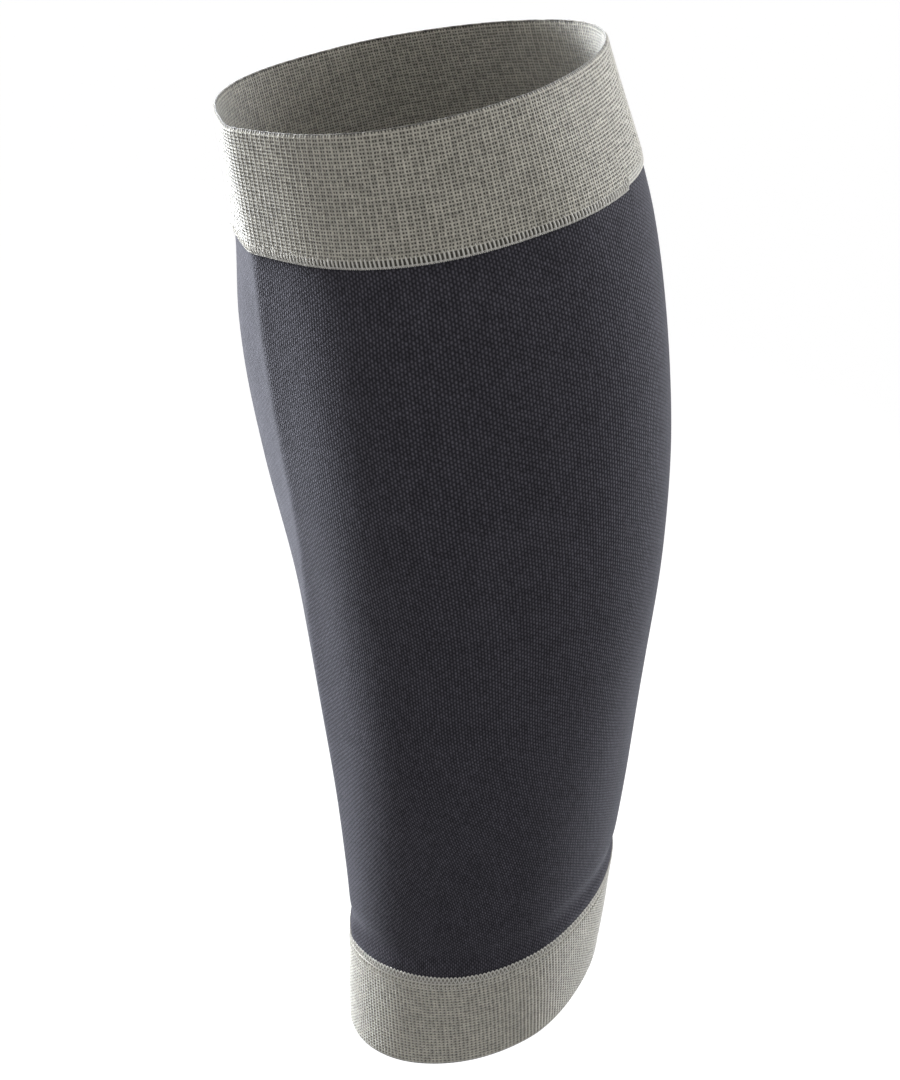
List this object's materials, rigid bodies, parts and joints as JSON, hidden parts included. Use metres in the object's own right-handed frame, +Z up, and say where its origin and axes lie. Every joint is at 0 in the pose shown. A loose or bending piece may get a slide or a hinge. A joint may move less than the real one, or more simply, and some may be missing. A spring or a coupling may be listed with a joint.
{
  "type": "calf compression sleeve",
  "caption": "Knitted tube shaped by the lower leg, open at both ends, dark body with grey elastic cuffs at knee and ankle, joined by stitched seams.",
  "frame": {"origin": "middle of the leg in the ankle opening, where the sleeve's lower end sits on the leg", "axes": "+Z up along the leg towards the knee, -Y towards the shin, +Y towards the calf, +X to one side"},
  "size_m": [0.1178, 0.1272, 0.3173],
  "materials": {
    "body_knit": "fine dark charcoal knit with a slight sheen",
    "cuff_knit": "coarser warm grey elastic knit, matt",
    "seam_thread": "light grey stitching thread, matt"
  },
  "bodies": {
    "root": {"calf_body": "body_knit", "top_cuff": "cuff_knit", "ankle_cuff": "cuff_knit", "top_seam": "seam_thread", "ankle_seam": "seam_thread"}
  },
  "joints": []
}
